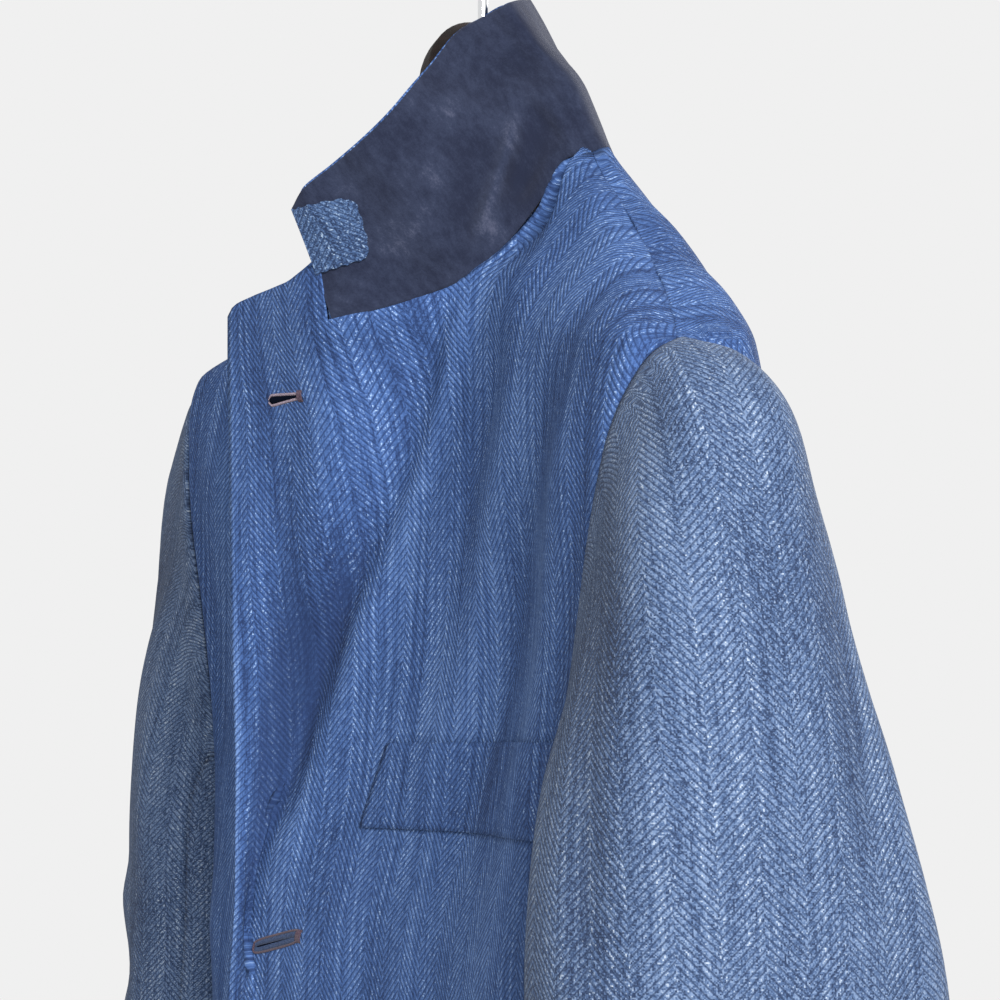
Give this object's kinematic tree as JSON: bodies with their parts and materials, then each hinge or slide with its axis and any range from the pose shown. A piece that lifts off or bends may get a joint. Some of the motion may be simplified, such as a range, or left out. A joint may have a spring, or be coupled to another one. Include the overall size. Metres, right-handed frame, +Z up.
{
  "type": "blazer on a hanger",
  "caption": "Soft single-breasted herringbone blazer, collar half raised and fronts open, hung on a shaped wooden hanger with a round wire hook.",
  "frame": {"origin": "the hang point: the inner crown of the hanger's hook, where it rests on a rail", "axes": "+X across the shoulders to the wearer's left, -Y the way the front of the garment faces, +Z up"},
  "size_m": [0.575, 0.1973, 0.8876],
  "materials": {
    "cloth": "matte herringbone weave, light slubs on dark blue",
    "felt": "brushed undercollar felt, fuzzy and matte",
    "wood": "dark stain under satin varnish",
    "hook": "bright chrome wire",
    "horn": "dark horn look, satin polish"
  },
  "bodies": {
    "root": {"front_left": "cloth", "side_left": "cloth", "back_left": "cloth", "sleeve_top_left": "cloth", "sleeve_under_left": "cloth", "front_right": "cloth", "side_right": "cloth", "back_right": "cloth", "sleeve_top_right": "cloth", "sleeve_under_right": "cloth", "undercollar": "felt", "top_collar": "cloth", "collar_tip_left": "cloth", "lapel_right": "cloth", "breast_welt": "cloth", "pocket_left": "cloth", "pocket_right": "cloth", "front_button_1": "horn", "front_button_2": "horn", "front_button_3": "horn", "cuff_button_left_1": "horn", "cuff_button_left_2": "horn", "cuff_button_left_3": "horn", "cuff_button_left_4": "horn", "cuff_button_right_1": "horn", "cuff_button_right_2": "horn", "cuff_button_right_3": "horn", "cuff_button_right_4": "horn", "hanger_body": "wood", "hanger_hook": "hook"}
  },
  "joints": []
}
